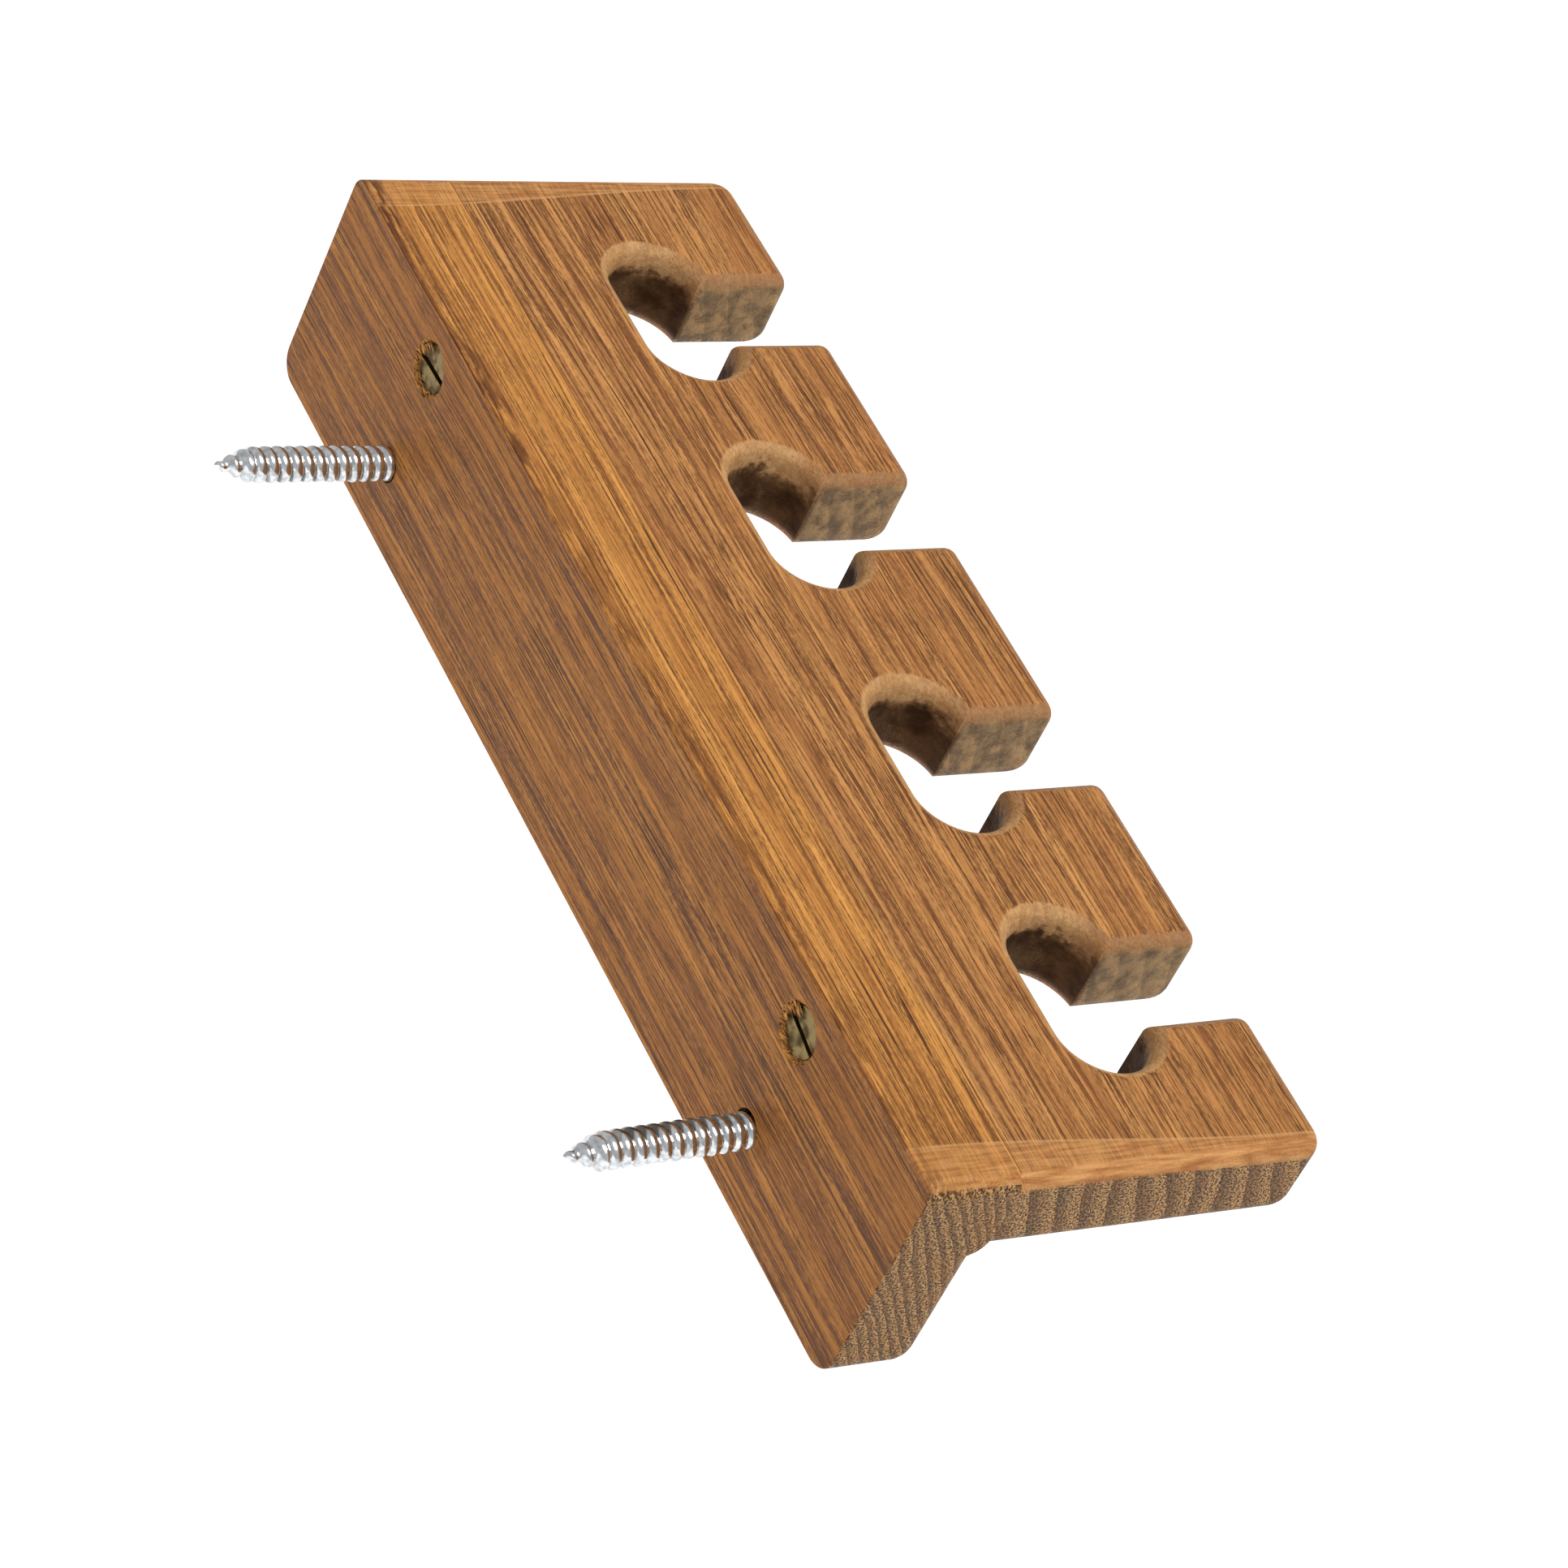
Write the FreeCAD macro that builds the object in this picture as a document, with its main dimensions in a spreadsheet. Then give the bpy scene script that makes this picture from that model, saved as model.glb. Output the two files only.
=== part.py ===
import FreeCAD, Part
import os

import Sketcher

# Wall cue rack: a notched shelf butted against a back board, both of solid hardwood.
# Millimetres. +Z is up, the wall is the plane Y = 0 and the shelf reaches out towards -Y.
# The origin is the middle of the two wall screws, where they leave the back board's rear face.

doc = FreeCAD.newDocument("wall_cue_rack")
sheet = doc.addObject("Spreadsheet::Sheet", "dims")
sheet.Label = "dims"

DIMENSIONS = {
    # boards
    "rack_length": 254.0,
    "board_thickness": 18.8,
    "shelf_depth": 64.8,
    "back_height": 49.4,
    "top_height": 34.8,
    "top_roundover": 3.175,
    "lower_roundover": 5.3,
    "roundover_stop": 0.3,
    "rear_ease": 0.4,
    "end_corner": 4.5,
    # cue notches: a round-ended pocket, and a mouth as wide as the pocket's straight length
    "notch_inner_offset": 30.9,
    "notch_outer_offset": 87.4,
    "pocket_length": 35.8,
    "pocket_width": 19.05,
    "finger_length": 21.5,
    "mouth_corner": 2.5,
    # slotted brass screws that hold the shelf to the back board
    "joint_spacing": 165.8,
    "joint_drop": 10.2,
    "joint_length": 38.1,
    "joint_head": 9.6,
    "joint_land": 0.25,
    "joint_shank": 4.8,
    "joint_tip": 5.0,
    "joint_recess": 0.8,
    "joint_slot_width": 1.2,
    "joint_slot_depth": 1.5,
    "joint_hole_spare": 0.8,
    # wall screws
    "wall_spacing": 166.0,
    "wall_length": 55.0,
    "wall_head": 12.0,
    "wall_land": 0.4,
    "wall_recess": 0.4,
    "wall_shank": 6.2,
    "wall_thread": 7.0,
    "wall_tip": 7.5,
    "wall_cross_length": 6.4,
    "wall_cross_width": 1.5,
    "wall_cross_depth": 3.2,
    # both kinds of screw
    "head_angle": 82.0,
}

SLOT_TURN = {"left": 11.0, "right": -2.0}
CROSS_TURN = {"left": 20.0, "right": 57.0}
SIDES = {"left": -1, "right": 1}

for row, (alias, number) in enumerate(DIMENSIONS.items(), start=1):
    sheet.set(f"A{row}", alias)
    sheet.set(f"B{row}", str(number))
    sheet.setAlias(f"B{row}", alias)
doc.recompute()

HEAD_SLOPE = "tan(dims.head_angle / 2 * 1 deg)"
TOLERANCE = 1e-4


def value(expression):
    """The number that an expression on the sheet gives."""
    return float(sheet.evalExpression(expression))


def new_body(name):
    body = doc.addObject("PartDesign::Body", name)
    body.Label = name
    return body


def new_sketch(body, name, plane, offset=None):
    """A sketch on one of the body's own origin planes, raised along its normal by an expression."""
    sketch = body.newObject("Sketcher::SketchObject", name)
    planes = {feature.Role: feature for feature in body.Origin.OriginFeatures}
    sketch.AttachmentSupport = [(planes[plane], "")]
    sketch.MapMode = "FlatFace"
    if offset:
        sketch.setExpression("AttachmentOffset.Base.z", offset)
    return sketch


def bind(sketch, kind, *where, to):
    """A dimension of the sketch that follows an expression on the sheet."""
    index = sketch.addConstraint(Sketcher.Constraint(kind, *where, value(to)))
    sketch.setExpression(f"Constraints[{index}]", to)


def bind_point(sketch, geometry, point, x, y):
    bind(sketch, "DistanceX", -1, 1, geometry, point, to=x)
    bind(sketch, "DistanceY", -1, 1, geometry, point, to=y)


def add_polygon(sketch, corners):
    """A closed outline whose corners are pairs of expressions."""
    points = [FreeCAD.Vector(value(x), value(y), 0) for x, y in corners]
    first = sketch.GeometryCount
    count = len(points)
    for number in range(count):
        sketch.addGeometry(Part.LineSegment(points[number], points[(number + 1) % count]), False)
    for number, (x, y) in enumerate(corners):
        following = first + (number + 1) % count
        sketch.addConstraint(Sketcher.Constraint("Coincident", first + number, 2, following, 1))
        bind_point(sketch, first + number, 1, x, y)


def add_rectangle(sketch, left, bottom, right, top):
    add_polygon(sketch, [(left, bottom), (right, bottom), (right, top), (left, top)])


def add_circle(sketch, x, y, diameter):
    centre = FreeCAD.Vector(value(x), value(y), 0)
    circle = Part.Circle(centre, FreeCAD.Vector(0, 0, 1), value(diameter) / 2)
    index = sketch.addGeometry(circle, False)
    bind_point(sketch, index, 3, x, y)
    bind(sketch, "Diameter", index, to=diameter)


def add_stadium(sketch, x, y, length, width):
    """A slot along X with half-round ends, centred on the point x, y."""
    radius = value(width) / 2
    reach = (value(length) - value(width)) / 2
    centre = FreeCAD.Vector(value(x), value(y), 0)
    up = FreeCAD.Vector(0, radius, 0)
    right = FreeCAD.Vector(reach, 0, 0)
    outward = FreeCAD.Vector(radius, 0, 0)
    right_end = Part.Arc(centre + right - up, centre + right + outward, centre + right + up)
    left_end = Part.Arc(centre - right + up, centre - right - outward, centre - right - up)
    near_side = Part.LineSegment(centre + right + up, centre - right + up)
    far_side = Part.LineSegment(centre - right - up, centre + right - up)
    first = sketch.GeometryCount
    sketch.addGeometry([right_end, near_side, left_end, far_side], False)
    for number in range(4):
        following = first + (number + 1) % 4
        sketch.addConstraint(Sketcher.Constraint("Tangent", first + number, 2, following, 1))
    bind_point(sketch, first, 3, f"{x} + ({length} - {width}) / 2", y)
    bind_point(sketch, first + 2, 3, f"{x} - ({length} - {width}) / 2", y)
    bind(sketch, "Radius", first, to=f"{width} / 2")


def pad(body, name, sketch, length, reverse=False):
    feature = body.newObject("PartDesign::Pad", name)
    feature.Profile = sketch
    feature.setExpression("Length", length)
    feature.Reversed = reverse
    doc.recompute()
    return feature


def expect_less(feature, before):
    """A cut has to take material away."""
    if feature.Shape.Volume > before - TOLERANCE:
        raise RuntimeError(f"{feature.Name} cut nothing")


def pocket(body, name, sketch, depth=None, reverse=False):
    """A cut of the given depth, or right through the body."""
    before = body.Shape.Volume
    feature = body.newObject("PartDesign::Pocket", name)
    feature.Profile = sketch
    feature.Reversed = reverse
    if depth:
        feature.setExpression("Length", depth)
    else:
        feature.Type = "ThroughAll"
    doc.recompute()
    expect_less(feature, before)
    return feature


def countersunk_hole(body, name, sketch, diameter, mouth, reverse):
    before = body.Shape.Volume
    hole = body.newObject("PartDesign::Hole", name)
    hole.Profile = sketch
    doc.recompute()
    hole.Threaded = False
    hole.DepthType = "ThroughAll"
    hole.Reversed = reverse
    hole.setExpression("Diameter", diameter)
    hole.HoleCutType = "Countersink"
    hole.HoleCutCustomValues = True
    hole.setExpression("HoleCutDiameter", mouth)
    hole.setExpression("HoleCutCountersinkAngle", "dims.head_angle")
    doc.recompute()
    expect_less(hole, before)
    return hole


def edge_names(shape, wanted):
    """The names of the edges whose bounding box passes the test."""
    return [f"Edge{number}" for number, edge in enumerate(shape.Edges, start=1) if wanted(edge.BoundBox)]


def fillet(body, name, wanted, radius):
    base = body.Tip
    feature = body.newObject("PartDesign::Fillet", name)
    feature.Base = (base, edge_names(base.Shape, wanted))
    feature.setExpression("Radius", radius)
    doc.recompute()
    return feature


def near(one, other):
    return abs(one - other) < TOLERANCE


def lies_at(box, axis, level):
    """Whether a box has no thickness along the axis and lies at the level."""
    return near(getattr(box, f"{axis}Min"), level) and near(getattr(box, f"{axis}Max"), level)


def at_either_end(box, end):
    return near(box.XMin, box.XMax) and near(abs(box.XMin), end)


def place(part, x, y, z, tilt="0", turn=0.0):
    """Moves a part to its place in the rack: tilted about X, and turned about its own axis first."""
    spin = FreeCAD.Rotation(FreeCAD.Vector(0, 0, 1), turn)
    lean = FreeCAD.Rotation(FreeCAD.Vector(1, 0, 0), float(tilt))
    part.Placement = FreeCAD.Placement(FreeCAD.Vector(), lean * spin)
    part.setExpression("Placement.Base.x", x)
    part.setExpression("Placement.Base.y", y)
    part.setExpression("Placement.Base.z", z)


def make_back_board():
    """The board against the wall, drawn from its top rear edge downwards.

    The run of its front end edges that the router rounds starts a little below the shelf, so the
    lower length of the board is padded and rounded first and the upper length is added above it.
    """
    body = new_body("back_board")
    half = "dims.rack_length / 2"
    stop = "dims.board_thickness + dims.roundover_stop"

    lower = new_sketch(body, "lower_outline", "XY_Plane", f"-({stop})")
    add_rectangle(lower, f"-{half}", "-dims.board_thickness", half, "0")
    pad(body, "lower_length", lower, f"dims.back_height - ({stop})", reverse=True)
    bottom = -value("dims.back_height")
    front = -value("dims.board_thickness")
    end = value(half)

    def router_edge(box):
        if lies_at(box, "Z", bottom):
            return not lies_at(box, "Y", 0)
        return lies_at(box, "Y", front) and at_either_end(box, end)

    fillet(body, "lower_roundover", router_edge, "dims.lower_roundover")

    upper = new_sketch(body, "upper_outline", "XY_Plane")
    add_rectangle(upper, f"-{half}", "-dims.board_thickness", half, "0")
    pad(body, "upper_length", upper, stop, reverse=True)

    def top_end_edge(box):
        return at_either_end(box, end) and lies_at(box, "Z", 0)

    def rear_rim(box):
        return lies_at(box, "Y", 0)

    fillet(body, "top_roundover", top_end_edge, "dims.top_roundover")
    fillet(body, "rear_ease", rear_rim, "dims.rear_ease")

    joints = new_sketch(body, "joint_centres", "XZ_Plane")
    walls = new_sketch(body, "wall_centres", "XZ_Plane", "dims.board_thickness")
    for sign in SIDES.values():
        add_circle(joints, f"{sign} * dims.joint_spacing / 2", "-dims.joint_drop", "dims.joint_shank")
        add_circle(walls, f"{sign} * dims.wall_spacing / 2", "-dims.top_height", "dims.wall_thread")
    joint_mouth = f"dims.joint_head + 2 * (dims.joint_recess + dims.joint_land) * {HEAD_SLOPE}"
    wall_mouth = f"dims.wall_head + 2 * (dims.wall_recess + dims.wall_land) * {HEAD_SLOPE}"
    countersunk_hole(body, "joint_holes", joints, "dims.joint_shank", joint_mouth, reverse=True)
    countersunk_hole(body, "wall_holes", walls, "dims.wall_thread", wall_mouth, reverse=False)
    place(body, "0", "0", "dims.top_height")
    return body


def make_cue_shelf():
    """The notched shelf, drawn from its top rear edge: forwards is -Y and downwards -Z."""
    body = new_body("cue_shelf")
    half = "dims.rack_length / 2"
    outline = new_sketch(body, "outline", "XY_Plane")
    add_rectangle(outline, f"-{half}", "-dims.shelf_depth", half, "0")
    pad(body, "board", outline, "dims.board_thickness", reverse=True)

    pocket_centre = "-dims.shelf_depth + dims.finger_length + dims.pocket_width / 2"
    half_mouth = "(dims.pocket_length - dims.pocket_width) / 2"
    pockets = new_sketch(body, "pocket_outlines", "XY_Plane")
    mouths = new_sketch(body, "mouth_outlines", "XY_Plane")
    for offset in ("dims.notch_inner_offset", "dims.notch_outer_offset"):
        add_stadium(pockets, offset, pocket_centre, "dims.pocket_length", "dims.pocket_width")
        left = f"{offset} - {half_mouth}"
        right = f"{offset} + {half_mouth}"
        add_rectangle(mouths, left, "-dims.shelf_depth", right, pocket_centre)
    round_pockets = pocket(body, "round_pockets", pockets)
    open_mouths = pocket(body, "open_mouths", mouths)

    before = body.Shape.Volume
    mirrored = body.newObject("PartDesign::Mirrored", "other_half")
    mirrored.Originals = [round_pockets, open_mouths]
    planes = {feature.Role: feature for feature in body.Origin.OriginFeatures}
    mirrored.MirrorPlane = (planes["YZ_Plane"], [""])
    body.Tip = mirrored
    doc.recompute()
    expect_less(mirrored, before)

    end = value(half)
    front = -value("dims.shelf_depth")
    floor = -value("dims.board_thickness")
    outermost_mouth = value("dims.notch_outer_offset + dims.pocket_length / 2")

    def upright_at_front(box):
        return box.ZLength > TOLERANCE and lies_at(box, "Y", front)

    def end_corner(box):
        return upright_at_front(box) and at_either_end(box, end)

    def mouth_corner(box):
        return upright_at_front(box) and abs(box.XMin) < outermost_mouth

    def top_rim(box):
        return lies_at(box, "Z", 0) and not lies_at(box, "Y", 0)

    def lower_rim(box):
        return lies_at(box, "Z", floor) and not lies_at(box, "Y", 0)

    fillet(body, "mouth_corners", mouth_corner, "dims.mouth_corner")
    fillet(body, "end_corners", end_corner, "dims.end_corner")
    fillet(body, "top_roundover", top_rim, "dims.top_roundover")
    fillet(body, "lower_roundover", lower_rim, "dims.lower_roundover")

    bores = new_sketch(body, "joint_bores", "XZ_Plane")
    for sign in SIDES.values():
        add_circle(bores, f"{sign} * dims.joint_spacing / 2", "-dims.joint_drop", "dims.joint_shank")
    depth = "dims.joint_length + dims.joint_recess - dims.board_thickness + dims.joint_hole_spare"
    pocket(body, "joint_screw_bores", bores, depth, reverse=True)
    place(body, "0", "-dims.board_thickness", "dims.top_height")
    return body


def make_screw(name, head, land, shank, length, tip, thread=None, thread_start=None):
    """A flat-head wood screw: the top of the head at the origin, pointing down.

    Its threaded length is a plain rod of the thread's outer diameter with a tapered tip. The shank
    is as thick as the thread, unless a thread and the depth where it starts are given.
    """
    body = new_body(name)
    profile = new_sketch(body, "half_profile", "XZ_Plane")
    head_height = f"{land} + ({head} - {shank}) / 2 / {HEAD_SLOPE}"
    outline = [
        ("0", "0"),
        (f"{head} / 2", "0"),
        (f"{head} / 2", f"-{land}"),
        (f"{shank} / 2", f"-({head_height})"),
    ]
    if thread:
        outline.append((f"{shank} / 2", f"-{thread_start}"))
        outline.append((f"{thread} / 2", f"-{thread_start}"))
    outline.append((f"{thread or shank} / 2", f"-({length} - {tip})"))
    outline.append(("0", f"-{length}"))
    add_polygon(profile, outline)
    turned = body.newObject("PartDesign::Revolution", "turned_blank")
    turned.Profile = profile
    turned.ReferenceAxis = (profile, ["V_Axis"])
    turned.Angle = 360
    doc.recompute()
    return body


def make_joint_screw(side):
    body = make_screw(f"joint_screw_{side}", "dims.joint_head", "dims.joint_land", "dims.joint_shank",
                      "dims.joint_length", "dims.joint_tip")
    slot = new_sketch(body, "slot_outline", "XY_Plane")
    half_width = "dims.joint_slot_width / 2"
    add_rectangle(slot, "-dims.joint_head", f"-{half_width}", "dims.joint_head", half_width)
    pocket(body, "slot", slot, "dims.joint_slot_depth")
    x = f"{SIDES[side]} * dims.joint_spacing / 2"
    place(body, x, "-dims.joint_recess", "dims.top_height - dims.joint_drop", "-90", SLOT_TURN[side])
    return body


def make_wall_screw(side):
    body = make_screw(f"wall_screw_{side}", "dims.wall_head", "dims.wall_land", "dims.wall_shank",
                      "dims.wall_length", "dims.wall_tip", "dims.wall_thread",
                      "(dims.board_thickness - dims.wall_recess)")
    half_length = "dims.wall_cross_length / 2"
    half_width = "dims.wall_cross_width / 2"
    for name, x, y in (("cross_along", half_length, half_width), ("cross_over", half_width, half_length)):
        arm = new_sketch(body, f"{name}_outline", "XY_Plane")
        add_rectangle(arm, f"-{x}", f"-{y}", x, y)
        pocket(body, name, arm, "dims.wall_cross_depth")
    x = f"{SIDES[side]} * dims.wall_spacing / 2"
    place(body, x, "dims.wall_recess - dims.board_thickness", "0", "90", CROSS_TURN[side])
    return body


parts = [make_back_board(), make_cue_shelf()]
for side in SIDES:
    parts.append(make_joint_screw(side))
    parts.append(make_wall_screw(side))
doc.recompute()

for thing in doc.Objects:
    if "Invalid" in thing.State or "Error" in thing.State:
        raise RuntimeError(f"{thing.Name} failed: {thing.State}")
for part in parts:
    if part.Shape.isNull() or not part.Shape.isValid() or len(part.Shape.Solids) != 1:
        raise RuntimeError(f"{part.Label} is not one valid solid")

os.makedirs("parts", exist_ok=True)
for part in parts:
    part.Shape.exportStep(f"parts/{part.Label}.step")
    box = part.Shape.BoundBox
    print(f"{part.Label}: {part.Shape.Volume:.0f} mm3, X {box.XMin:.2f}..{box.XMax:.2f}, "
          f"Y {box.YMin:.2f}..{box.YMax:.2f}, Z {box.ZMin:.2f}..{box.ZMax:.2f}")
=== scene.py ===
import math
import random

import bmesh
import bpy
from mathutils import Matrix, Vector


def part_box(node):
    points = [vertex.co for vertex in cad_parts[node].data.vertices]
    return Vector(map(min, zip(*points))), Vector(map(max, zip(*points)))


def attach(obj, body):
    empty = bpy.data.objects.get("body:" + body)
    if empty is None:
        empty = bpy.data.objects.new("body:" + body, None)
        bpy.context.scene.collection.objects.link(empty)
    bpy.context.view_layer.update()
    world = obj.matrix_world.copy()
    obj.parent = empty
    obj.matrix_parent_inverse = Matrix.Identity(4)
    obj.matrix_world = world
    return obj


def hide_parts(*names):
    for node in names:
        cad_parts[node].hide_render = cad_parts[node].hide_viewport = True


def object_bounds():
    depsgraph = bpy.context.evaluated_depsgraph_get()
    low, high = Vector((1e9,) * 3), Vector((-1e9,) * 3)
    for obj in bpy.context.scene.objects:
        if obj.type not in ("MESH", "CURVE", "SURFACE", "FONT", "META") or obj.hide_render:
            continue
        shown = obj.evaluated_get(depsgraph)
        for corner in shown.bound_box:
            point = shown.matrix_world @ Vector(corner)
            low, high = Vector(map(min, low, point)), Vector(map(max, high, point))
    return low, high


# Wall cue rack: two hardwood boards, two slotted brass screws, two wall screws.
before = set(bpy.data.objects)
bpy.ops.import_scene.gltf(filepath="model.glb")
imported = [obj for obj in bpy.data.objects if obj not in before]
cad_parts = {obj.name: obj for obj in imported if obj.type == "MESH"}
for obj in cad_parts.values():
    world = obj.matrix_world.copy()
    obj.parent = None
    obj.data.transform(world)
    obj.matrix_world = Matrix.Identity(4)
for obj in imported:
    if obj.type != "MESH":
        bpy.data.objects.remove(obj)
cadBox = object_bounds()
mm = 0.001
print("frame loaded:", ", ".join(sorted(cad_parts)))


def newObject(name, mesh):
    thing = bpy.data.objects.new(name, mesh)
    bpy.context.scene.collection.objects.link(thing)
    return thing


def frozen(thing):
    # the evaluated shape as a plain mesh, with no modifier left on it
    bpy.context.view_layer.update()
    graph = bpy.context.evaluated_depsgraph_get()
    mesh = bpy.data.meshes.new_from_object(thing.evaluated_get(graph))
    spent = thing.data
    thing.modifiers.clear()
    thing.data = mesh
    bpy.data.meshes.remove(spent)
    return thing


def add(tree, kind, inputs=None, **settings):
    made = tree.nodes.new(kind)
    for key, setting in settings.items():
        setattr(made, key, setting)
    for key, given in (inputs or {}).items():
        socket = made.inputs[key]
        if isinstance(given, bpy.types.NodeSocket):
            tree.links.new(given, socket)
        else:
            socket.default_value = given
    return made


def calc(tree, operation, *terms, clamp=False):
    inputs = dict(enumerate(terms))
    return add(tree, "ShaderNodeMath", inputs, operation=operation, use_clamp=clamp).outputs[0]


def calcVector(tree, operation, *terms):
    return add(tree, "ShaderNodeVectorMath", dict(enumerate(terms)), operation=operation).outputs[0]


def product(tree, first, *others):
    for other in others:
        first = calc(tree, "MULTIPLY", first, other)
    return first


def noise(tree, place, detail, output="Fac", **extra):
    inputs = {"Vector": place, "Scale": 1.0, "Detail": detail, **extra}
    return add(tree, "ShaderNodeTexNoise", inputs).outputs[output]


def ramp(tree, value, low, high, bottom=0.0, top=1.0):
    inputs = {"Value": value, "From Min": low, "From Max": high, "To Min": bottom, "To Max": top}
    return add(tree, "ShaderNodeMapRange", inputs, interpolation_type="SMOOTHSTEP").outputs[0]


def mixed(tree, factor, first, second, blend="MIX"):
    made = add(tree, "ShaderNodeMix", data_type="RGBA", blend_type=blend)
    for index, given in ((0, factor), (6, first), (7, second)):
        if isinstance(given, bpy.types.NodeSocket):
            tree.links.new(given, made.inputs[index])
        else:
            made.inputs[index].default_value = given
    return made.outputs[2]


def tone(red, green, blue):
    # a colour as seen on a screen, 0 to 255, as the shader's linear values
    linear = [(part / 255) ** 2.2 for part in (red, green, blue)]
    return (*linear, 1.0)


def newGroup(name, inputs, outputs):
    tree = bpy.data.node_groups.new(name, "ShaderNodeTree")
    for label, kind, given in inputs:
        socket = tree.interface.new_socket(label, in_out="INPUT", socket_type=kind)
        if given is not None:
            socket.default_value = given
    for label, kind in outputs:
        tree.interface.new_socket(label, in_out="OUTPUT", socket_type=kind)
    return tree, tree.nodes.new("NodeGroupInput"), tree.nodes.new("NodeGroupOutput")


def useGroup(tree, group, inputs):
    return add(tree, "ShaderNodeGroup", inputs, node_tree=group)


number = "NodeSocketFloat"
vector = "NodeSocketVector"


grainRules = {
    "wanderScale": (0.012, 0.05, 0.05), "wanderDetail": 2.0, "fibreRoughness": 0.6, "poreCore": 0.55,
    "wobbleScale": (0.01, 0.06, 0.06), "wobbleDetail": 1.5,
    "lateWood": (0.15, 0.96), "ringEdge": (1.0, 0.96)}


# Grain runs along X. The group turns a place in metres into millimetres of timber, with a slow wander.
def makeGrainPlace():
    tree, given, result = newGroup("grainPlace", [
        ("Place", vector, None), ("Shift", vector, (0, 0, 0)), ("Wander", number, 1.5),
        ("Slope", number, 0.0)], [("Timber", vector)])
    inMillimetres = calcVector(tree, "MULTIPLY", given.outputs["Place"], (1000, 1000, 1000))
    moved = calcVector(tree, "ADD", inMillimetres, given.outputs["Shift"])
    slow = calcVector(tree, "MULTIPLY", moved, grainRules["wanderScale"])
    drift = noise(tree, slow, grainRules["wanderDetail"], "Color")
    centred = calcVector(tree, "SUBTRACT", drift, (0.5, 0.5, 0.5))
    across = calcVector(tree, "MULTIPLY", centred, (0, 2, 2))
    wander = add(tree, "ShaderNodeVectorMath", {
        0: across, "Scale": given.outputs["Wander"]}, operation="SCALE").outputs[0]
    parts = add(tree, "ShaderNodeSeparateXYZ", {0: calcVector(tree, "ADD", moved, wander)})
    lean = calc(tree, "MULTIPLY", parts.outputs[0], given.outputs["Slope"])
    level = calc(tree, "ADD", parts.outputs[1], lean)
    timber = add(tree, "ShaderNodeCombineXYZ", {0: parts.outputs[0], 1: level, 2: parts.outputs[2]})
    tree.links.new(timber.outputs[0], result.inputs["Timber"])
    return tree


def drawnOut(tree, given):
    # the timber squeezed along and across the grain, so that one unit is one fibre
    along = calc(tree, "DIVIDE", 1.0, given.outputs["Length"])
    across = calc(tree, "DIVIDE", 1.0, given.outputs["Width"])
    stretch = add(tree, "ShaderNodeCombineXYZ", {0: along, 1: across, 2: across}).outputs[0]
    return calcVector(tree, "MULTIPLY", given.outputs["Timber"], stretch)


# Long fibres: noise drawn out along the grain.
def makeFibres():
    tree, given, result = newGroup("fibres", [
        ("Timber", vector, None), ("Length", number, 60.0), ("Width", number, 1.0),
        ("Detail", number, 3.0), ("Contrast", number, 0.5)], [("Shade", number)])
    roughness = grainRules["fibreRoughness"]
    waves = noise(tree, drawnOut(tree, given), given.outputs["Detail"], Roughness=roughness)
    half = calc(tree, "MULTIPLY", given.outputs["Contrast"], 0.5)
    low = calc(tree, "SUBTRACT", 0.5, half)
    high = calc(tree, "ADD", 0.5, half)
    tree.links.new(ramp(tree, waves, low, high), result.inputs["Shade"])
    return tree


# Open pores: long thin vessels, dashes on a side face and dots on an end face.
def makePores():
    tree, given, result = newGroup("pores", [
        ("Timber", vector, None), ("Length", number, 8.0), ("Width", number, 0.4),
        ("Share", number, 0.5), ("Size", number, 0.35)], [("Mask", number)])
    cells = add(tree, "ShaderNodeTexVoronoi", {
        "Vector": drawnOut(tree, given), "Scale": 1.0, "Randomness": 1.0})
    inner = calc(tree, "MULTIPLY", given.outputs["Size"], grainRules["poreCore"])
    spot = ramp(tree, cells.outputs["Distance"], given.outputs["Size"], inner)
    dice = add(tree, "ShaderNodeSeparateColor", {0: cells.outputs["Color"]}).outputs[0]
    chosen = calc(tree, "LESS_THAN", dice, given.outputs["Share"])
    tree.links.new(product(tree, spot, chosen), result.inputs["Mask"])
    return tree


# Growth rings: nearly flat layers that lean across the board, darker towards each layer's end.
def makeRings():
    tree, given, result = newGroup("rings", [
        ("Timber", vector, None), ("Spacing", number, 5.0), ("Lean", number, 0.3),
        ("Wobble", number, 0.5)], [("Late", number)])
    parts = add(tree, "ShaderNodeSeparateXYZ", {0: given.outputs["Timber"]})
    leaning = calc(tree, "MULTIPLY", parts.outputs[2], given.outputs["Lean"])
    layer = calc(tree, "ADD", parts.outputs[1], leaning)
    slow = calcVector(tree, "MULTIPLY", given.outputs["Timber"], grainRules["wobbleScale"])
    wobble = product(tree, noise(tree, slow, grainRules["wobbleDetail"]), given.outputs["Wobble"])
    count = calc(tree, "ADD", calc(tree, "DIVIDE", layer, given.outputs["Spacing"]), wobble)
    turn = calc(tree, "FRACT", count)
    rise = ramp(tree, turn, *grainRules["lateWood"])
    fall = ramp(tree, turn, *grainRules["ringEdge"])
    tree.links.new(product(tree, rise, fall), result.inputs["Late"])
    return tree


# Where a face looks: end grain, upright, or a rounded upper rim. Limits are parts of the normal.
facingLimits = {"end": (0.45, 0.9), "rising": (0.08, 0.4), "notFlat": (0.99, 0.93), "upright": (0.6, 0.2)}


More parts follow.
